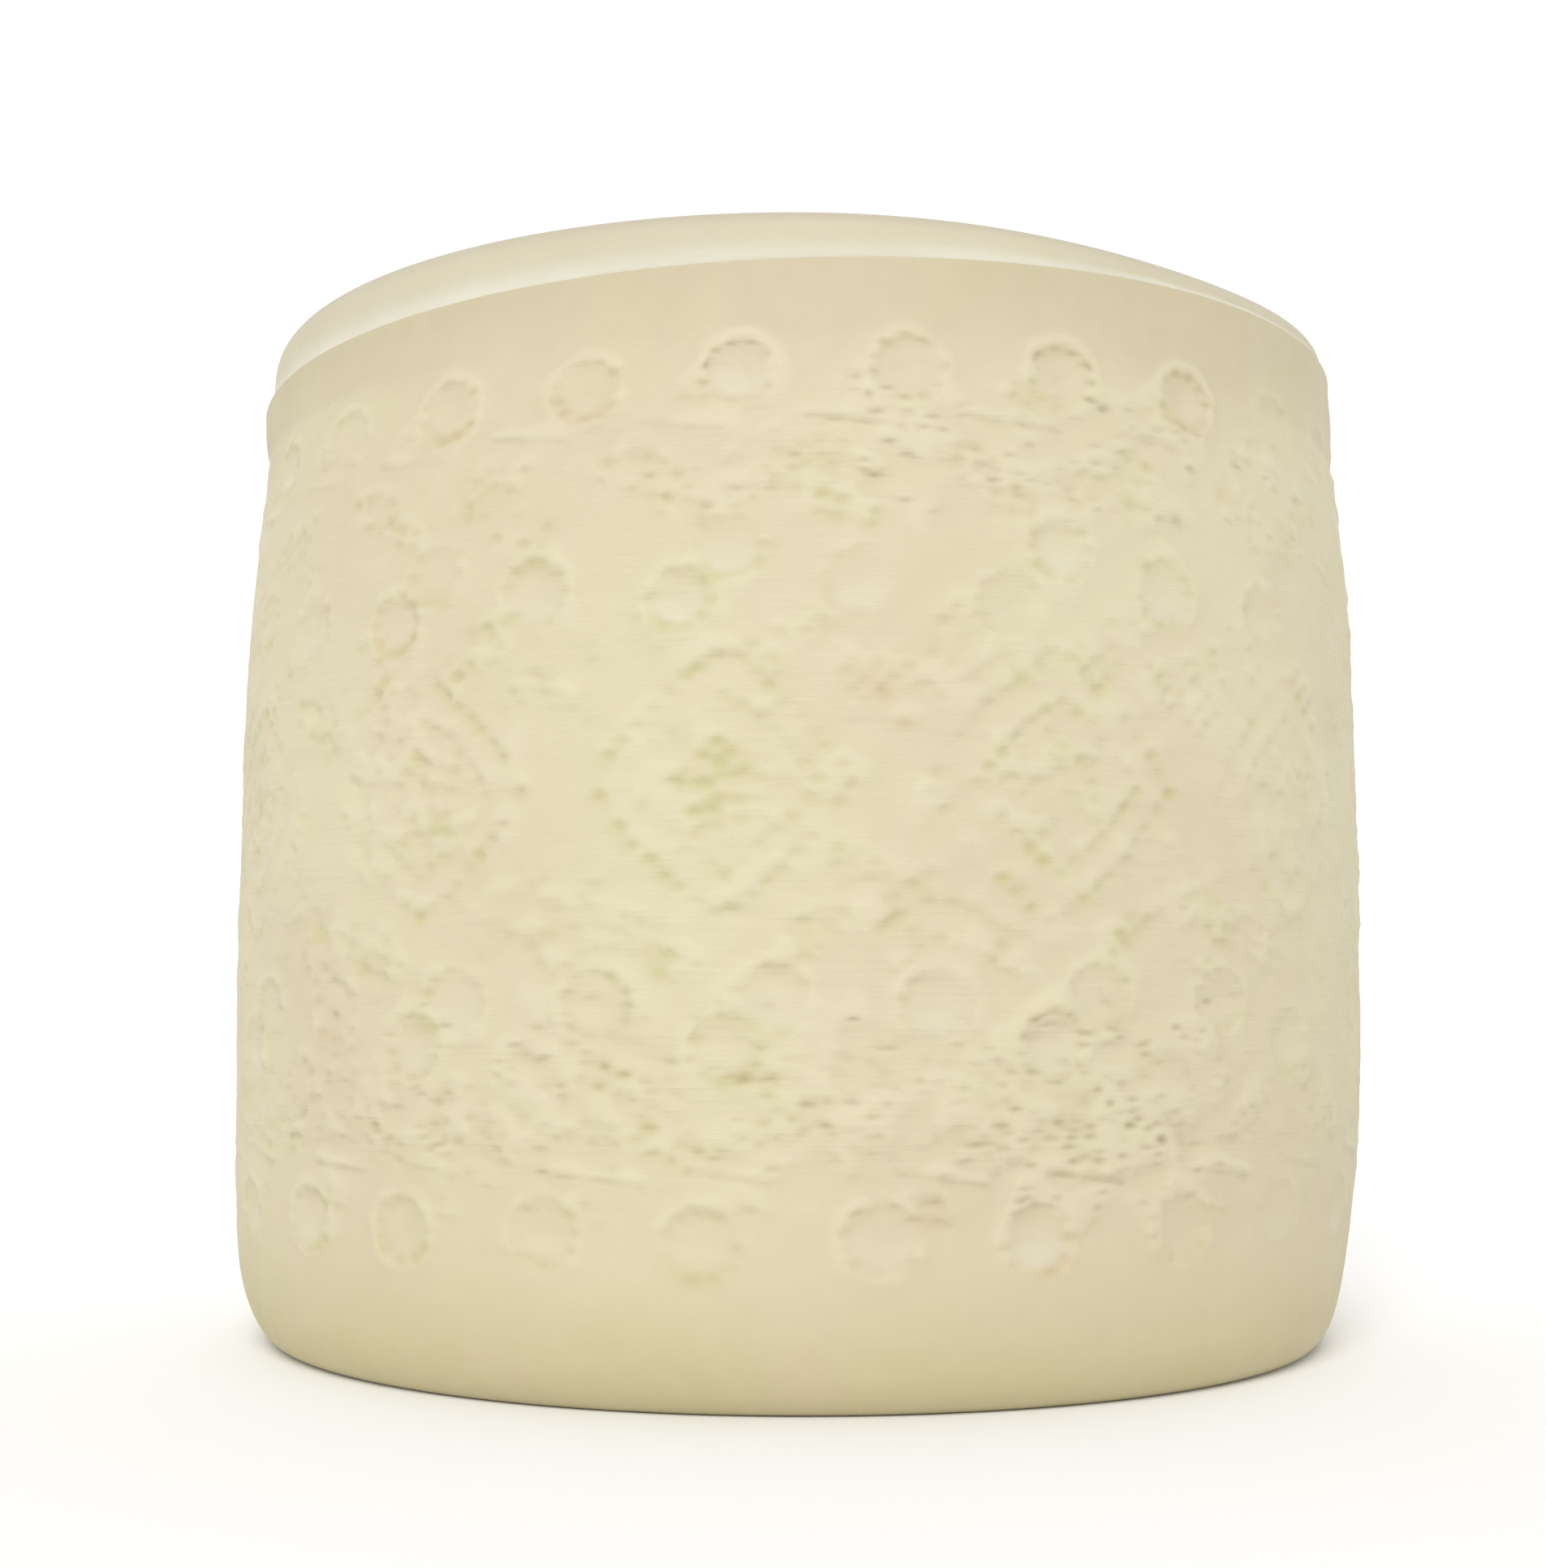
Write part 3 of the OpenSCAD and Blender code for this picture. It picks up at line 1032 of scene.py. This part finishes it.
def face_tints(tree, colour):
    """Clouds of pale bloom and small sour or tan blots on the flat face."""
    cloud = tree.between(tree.noise(22, 4.0, 0.66), 0.40, 0.66)
    colour = tree.tint(colour, BLOOM_AND_HIGHLIGHT, cloud, 0.38)
    blots = tree.between(tree.noise(75, 3.0, 0.55, bend=0.2), 0.58, 0.70)
    blot_colour = tree.mix(tree.between(tree.noise(21, 2.0), 0.45, 0.55), PIT_SOUR, PIT_RUST)
    return tree.tint(colour, blot_colour, blots, 0.3)


def rim_tints(tree, colour):
    """A greyer rim, with pale bloom on the ledge that is also a painted highlight from the light above, and
    a soft corner round the top face painted darker as shade.
    """
    greyed = tree.between(tree.noise(24, 3.0, 0.6), 0.35, 0.65, 0.55, 0.85)
    colour = tree.tint(face_tints(tree, colour), RIM, tree.attribute("rim"), greyed)
    uneven = tree.between(tree.noise(30, 2.0), 0.3, 0.7, 0.55, 0.95)
    # Pale bloom on the ledge, partly a painted highlight where the ledge faces up to the light
    colour = tree.tint(colour, BLOOM_AND_HIGHLIGHT, tree.attribute("ledge"), uneven)
    # Painted shade: the soft corner round the top face, turned away from the light, is painted darker
    return tree.tint(colour, PAINTED_CORNER_SHADE, tree.attribute("corner"), 0.7)


def rind_material(name, zones=False, tints=None):
    """A dry, faintly waxy rind."""
    tree = Tree(name)
    colour = rind_colour(tree, zones)
    if tints:
        colour = tints(tree, colour)
    tree.join(colour, tree.shader.inputs["Base Color"])
    tree.join(tree.between(tree.noise(45, 3.0), 0.3, 0.7, 0.50, 0.64), tree.shader.inputs["Roughness"])
    tree.join(rind_bump(tree, zones), tree.shader.inputs["Normal"])
    tree.shader.inputs["Specular IOR Level"].default_value = 0.3
    return tree.material


def paste_material():
    """Dense pale paste, grainy where it is cut."""
    tree = Tree("paste_dense")
    grain = tree.between(tree.noise(120, 5.0, 0.6), 0.3, 0.7)
    tree.join(tree.tint(PASTE, STRAW, grain, 0.3), tree.shader.inputs["Base Color"])
    tree.join(tree.between(tree.noise(80, 2.0), 0.3, 0.7, 0.55, 0.75), tree.shader.inputs["Roughness"])
    tree.join(tree.bump(tree.noise(420, 4.0, 0.65), 0.0006, 0.6), tree.shader.inputs["Normal"])
    return tree.material


def floor_material():
    """A plain pale floor with the faintest unevenness in its gloss."""
    tree = Tree("floor_pale")
    tree.shader.inputs["Base Color"].default_value = (0.94, 0.94, 0.94, 1.0)
    tree.join(tree.between(tree.noise(3, 2.0), 0.3, 0.7, 0.75, 0.85), tree.shader.inputs["Roughness"])
    tree.shader.inputs["Specular IOR Level"].default_value = 0.1
    return tree.material


# -------- the scene

FLOOR_RADIUS = 9000
FLOOR_CORNERS = 96


def make_floor():
    """A wide round floor that the wheel stands on."""
    rim = on_wheel(even_angles(FLOOR_CORNERS), FLOOR_RADIUS, np.zeros(FLOOR_CORNERS))
    floor = mesh_object("floor", rim, [np.arange(FLOOR_CORNERS)[None, :]])
    floor.data.materials.append(floor_material())


# How far in front of the axis the camera is and how high, in belly radii, and where it looks
CAMERA_AWAY = 4.0
CAMERA_UP = 0.56
CAMERA_TILT = 96.0
CAMERA_TURN = 0.675
LENS = 49.8
SENSOR = 36


def make_camera():
    """A near camera below the top edge, looking a little up and left of the wheel's middle."""
    radius = BELLY_RADIUS * MM
    camera = bpy.data.cameras.new("camera")
    camera.sensor_width = SENSOR
    camera.lens = LENS
    camera.clip_start, camera.clip_end = 0.05, 50
    seat = bpy.data.objects.new("camera", camera)
    seat.location = (0, -CAMERA_AWAY * radius, CAMERA_UP * radius)
    seat.rotation_euler = (math.radians(CAMERA_TILT), 0, math.radians(CAMERA_TURN))
    bpy.context.scene.collection.objects.link(seat)
    bpy.context.scene.camera = seat


# Brightness of the backdrop and of the sky over the viewer and beyond the wheel, and the lamp's power, width
# and direction
BACKDROP = 1.1
SKY_FRONT = 0.15
SKY_BACK = 1.1
SUN_POWER = 1.85
SUN_WIDTH = 30
SUN_TURN = -6
SUN_RISE = 42


def make_sky():
    """A bright backdrop all round, under a sky that is dim over the viewer and bright beyond the wheel."""
    world = bpy.data.worlds.new("studio")
    world.use_nodes = True
    nodes, links = world.node_tree.nodes, world.node_tree.links
    direction = nodes.new("ShaderNodeTexCoord")
    split = nodes.new("ShaderNodeSeparateXYZ")
    links.new(direction.outputs["Generated"], split.inputs[0])

    def fade(axis, *numbers):
        node = nodes.new("ShaderNodeMapRange")
        node.interpolation_type = "SMOOTHSTEP"
        set_range(node, *numbers)
        links.new(split.outputs[axis], node.inputs["Value"])
        return node.outputs["Result"]

    mix = nodes.new("ShaderNodeMix")
    mix.data_type = "FLOAT"
    mix.inputs[2].default_value = BACKDROP
    links.new(fade("Z", 0.36, 0.58, 0, 1), mix.inputs[0])
    links.new(fade("Y", -0.5, 0.5, SKY_FRONT, SKY_BACK), mix.inputs[3])
    links.new(mix.outputs[0], nodes["Background"].inputs["Strength"])
    nodes["Background"].inputs["Color"].default_value = (1, 1, 1, 1)
    bpy.context.scene.world = world


def make_sun():
    """One broad soft lamp from above the viewer."""
    light = bpy.data.lights.new("key", "SUN")
    light.energy = SUN_POWER
    light.angle = math.radians(SUN_WIDTH)
    lamp = bpy.data.objects.new("key", light)
    lamp.rotation_euler = (math.radians(90 - SUN_RISE), 0, math.radians(SUN_TURN))
    bpy.context.scene.collection.objects.link(lamp)


def make_rind():
    """The three visible pieces, each over its CAD node, and the paste's own material."""
    side, top, bottom = make_side(), make_top(), make_bottom()
    side.data.materials.append(rind_material("rind_side", zones=True, tints=mark_tints))
    top.data.materials.append(rind_material("rind_top", tints=rim_tints))
    bottom.data.materials.append(rind_material("rind_bottom", zones=True))
    for piece, node, slot in ((side, "side_rind", "side_rind"), (top, "top_rind", "face_rind"),
                              (bottom, "bottom_rind", "foot_rind")):
        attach(piece, "root")
        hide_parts(node)
    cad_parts["cheese_paste"].material_slots[0].material = paste_material()


make_floor()
make_camera()
make_sky()
make_sun()
bpy.context.scene.view_settings.view_transform = "Standard"
make_rind()
